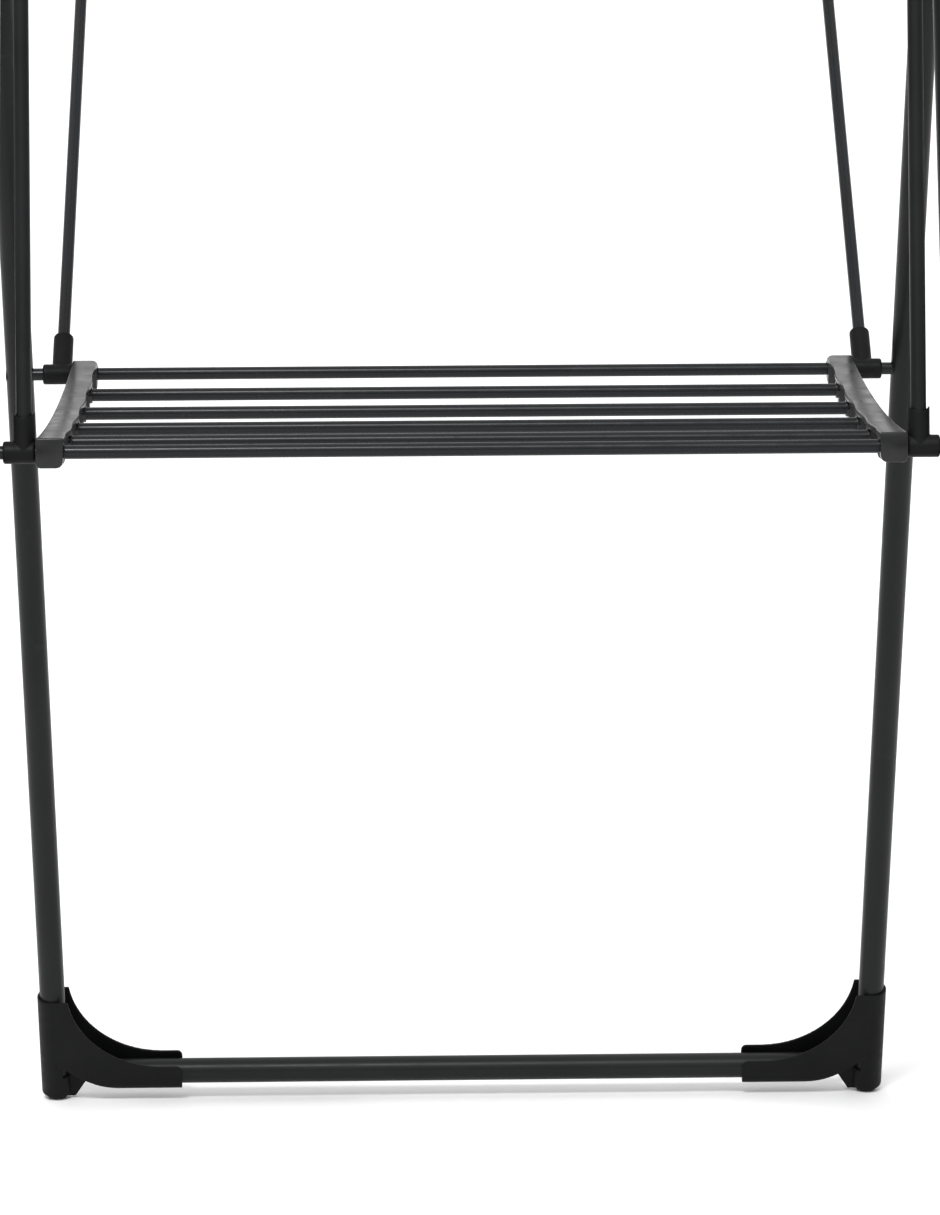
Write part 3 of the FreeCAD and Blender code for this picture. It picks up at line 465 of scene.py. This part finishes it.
def strip_mesh(side):
    """Sweep the section along the shelf's line and close both ends."""
    name = f"shelf_end_{side}"
    inward = 1 if side == "left" else -1
    middle_x = middle(name).x
    line = ShelfLine(HALF_STRIP)
    work = bmesh.new()
    rings = []
    for distance in strip_stations(line):
        place, along, normal = line.at(distance)
        ring = []
        for across, up in strip_section(line, distance):
            spot = place + up * normal
            ring.append(work.verts.new((middle_x + inward * across, spot.x, spot.y)))
        rings.append(ring)
    for first, second in zip(rings, rings[1:]):
        for index in range(len(first)):
            after = (index + 1) % len(first)
            work.faces.new((first[index], first[after], second[after], second[index]))
    work.faces.new(rings[0])
    work.faces.new(rings[-1])
    bmesh.ops.remove_doubles(work, verts=work.verts, dist=STRIP_WELD)
    bmesh.ops.recalc_face_normals(work, faces=work.faces)
    mesh = bpy.data.meshes.new(name)
    work.to_mesh(mesh)
    work.free()
    return mesh


def bar_mesh(work, points, low, high):
    """Add a closed prism along X to a mesh from its outline in Y and Z."""
    ends = [[work.verts.new((x, *point)) for point in points] for x in (low, high)]
    count = len(points)
    for index in range(count):
        after = (index + 1) % count
        work.faces.new((ends[0][index], ends[0][after], ends[1][after], ends[1][index]))
    work.faces.new(ends[0])
    work.faces.new(ends[1])


def circle(centre, radius, start=0, turn=360, steps=32):
    """Points round an arc in Y and Z; a whole circle leaves out its last, repeated point."""
    whole = turn == 360
    return [(centre.y + radius * math.cos(math.radians(start + turn * step / steps)),
             centre.z + radius * math.sin(math.radians(start + turn * step / steps)))
            for step in range(steps if whole else steps + 1)]


def hook_outline():
    """The hook's mouth: round the front axle, then open down and back."""
    arc = circle(FRONT_AXLE, HOOK_RADIUS, 210, -180, 20)
    return arc + [(FRONT_AXLE.y + reach, FRONT_AXLE.z - HOOK_DROP) for reach in HOOK_REACH]


def shelf_strip(side):
    """Moulded end of the shelf: a banded strip, collars round its rods, and an open hook."""
    name = f"shelf_end_{side}"
    low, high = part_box(name)
    cutter_work = bmesh.new()
    for outline in (hook_outline(), circle(REAR_AXLE, BORE_RADIUS)):
        bar_mesh(cutter_work, outline, low[0] - CUT_PAST, high[0] + CUT_PAST)
    bmesh.ops.recalc_face_normals(cutter_work, faces=cutter_work.faces)
    cutter_mesh = bpy.data.meshes.new("cutter")
    cutter_work.to_mesh(cutter_mesh)
    cutter_work.free()
    cutter = new_piece("cutter", cutter_mesh)
    blank = new_piece("blank", strip_mesh(side))
    opening = blank.modifiers.new("opening", "BOOLEAN")
    opening.operation = "DIFFERENCE"
    opening.solver = "MANIFOLD"
    opening.object = cutter
    bpy.context.view_layer.update()
    graph = bpy.context.evaluated_depsgraph_get()
    mesh = bpy.data.meshes.new_from_object(blank.evaluated_get(graph))
    if len(mesh.vertices) == len(blank.data.vertices):
        raise RuntimeError(f"{name}: the hook's mouth and the axle's bore were not cut")
    bpy.data.objects.remove(blank)
    bpy.data.objects.remove(cutter)
    work = bmesh.new()
    work.from_mesh(mesh)
    inner_face = high[0] if side == "left" else low[0]
    inward = 1 if side == "left" else -1
    for number in range(2, ROD_GAPS + 1):
        collar_ends = sorted((inner_face - inward * (RIB_SETBACK + COLLAR_BURIED),
                              inner_face + inward * COLLAR_PROUD))
        bar_mesh(work, circle(middle(f"shelf_rod_{number}"), COLLAR), *collar_ends)
    bmesh.ops.recalc_face_normals(work, faces=work.faces)
    work.to_mesh(mesh)
    work.free()
    mesh.shade_smooth()
    mesh.set_sharp_from_angle(angle=SHARP_ANGLE)
    piece = new_piece(f"shelf_strip_{side}", mesh)
    stand_for(piece, name)


FINE_GRAIN = 0.0004     # voxel of the small mouldings that carry rods
COARSE_GRAIN = 0.0006   # and of the larger ones
HOUSING_EDGE = 0.0009   # rounding of the hinge housings
CLIP_EDGE = 0.0007      # and of the clips and wing brackets


def make_pieces():
    """Every moulded piece that is finer than its CAD node."""
    for side in ("left", "right"):
        shelf_strip(side)
        for name in ("rail_tee", "prop_tee"):
            melted(f"{name}_{side}", FINE_GRAIN, rounds=5)
        for name in ("rail_elbow", "wing_knuckle", "wing_corner"):
            melted(f"{name}_{side}", COARSE_GRAIN, rounds=5)
        for name in ("front_foot_bracket", "rear_foot_bracket"):
            melted(f"{name}_{side}", COARSE_GRAIN, rounds=3)
        for name in ("front_hinge_housing", "rear_hinge_housing"):
            softened(f"{name}_{side}", HOUSING_EDGE)
        for name in ("post_clip", "wing_hinge_bracket"):
            softened(f"{name}_{side}", CLIP_EDGE)


# ---------------------------------------------------------------- stage

FLOOR_HALF = 30.0


def make_floor():
    """A pale floor that reaches far past the picture."""
    half = FLOOR_HALF
    mesh = bpy.data.meshes.new("floor")
    corners = [(-half, -half, 0), (half, -half, 0), (half, half, 0), (-half, half, 0)]
    mesh.from_pydata(corners, [], [(0, 1, 2, 3)])
    floor = bpy.data.objects.new("floor", mesh)
    bpy.context.scene.collection.objects.link(floor)
    floor.data.materials.append(floor_paint())


def add_sun(name, strength, spread, tilt, swing):
    """A far lamp whose disc is spread degrees wide, tilted from overhead and swung about Z."""
    lamp = bpy.data.lights.new(name, "SUN")
    lamp.energy = strength
    lamp.angle = math.radians(spread)
    item = bpy.data.objects.new(name, lamp)
    item.rotation_euler = (math.radians(tilt), 0, math.radians(swing))
    bpy.context.scene.collection.objects.link(item)


FRONT_GLOW = 0.26        # the surround's strength in front of the rack
BACK_GLOW = 1.1          # and its strength low behind the rack
BACK_GLOW_START = 0.25   # how far round to the back the surround starts to brighten


def make_light():
    """A surround brighter behind, a very broad light overhead and a smaller one in front."""
    world = bpy.data.worlds.new("studio")
    world.use_nodes = True
    background = world.node_tree.nodes["Background"]
    background.inputs["Color"].default_value = (1, 1, 1, 1)
    nodes = world.node_tree.nodes
    direction = nodes.new("ShaderNodeTexCoord")
    parts = nodes.new("ShaderNodeSeparateXYZ")
    rise = nodes.new("ShaderNodeMapRange")
    for socket, value in zip(("From Min", "From Max", "To Min", "To Max"),
                             (BACK_GLOW_START, 1.0, FRONT_GLOW, BACK_GLOW)):
        rise.inputs[socket].default_value = value
    world.node_tree.links.new(direction.outputs["Generated"], parts.inputs["Vector"])
    world.node_tree.links.new(parts.outputs["Y"], rise.inputs["Value"])
    world.node_tree.links.new(rise.outputs["Result"], background.inputs["Strength"])
    scene = bpy.context.scene
    scene.world = world
    scene.view_settings.view_transform = "Standard"
    add_sun("key", 2.1, 14, 38, -14)
    add_sun("overhead", 1.9, 120, 20, -10)


LENS = 142.2
YAW, PITCH, ROLL = (math.radians(angle) for angle in (-0.965, -10.60, 0.285))
CAMERA_FROM_AXLE = Vector((-0.0600, -3.4370, 0.5267))


def make_camera():
    """Camera in front of the rack, a little left of its middle, looking down at the shelf."""
    data = bpy.data.cameras.new("camera")
    data.sensor_width = 36.0
    data.lens = LENS
    camera = bpy.data.objects.new("camera", data)
    turn = (Matrix.Rotation(YAW, 4, "Z") @ Matrix.Rotation(PITCH, 4, "X")
            @ Matrix.Rotation(ROLL, 4, "Y") @ Matrix.Rotation(math.radians(90), 4, "X"))
    camera.matrix_world = Matrix.Translation(FRONT_AXLE + CAMERA_FROM_AXLE) @ turn
    bpy.context.scene.collection.objects.link(camera)
    bpy.context.scene.camera = camera


paint_frame()
make_pieces()
make_floor()
make_light()
make_camera()
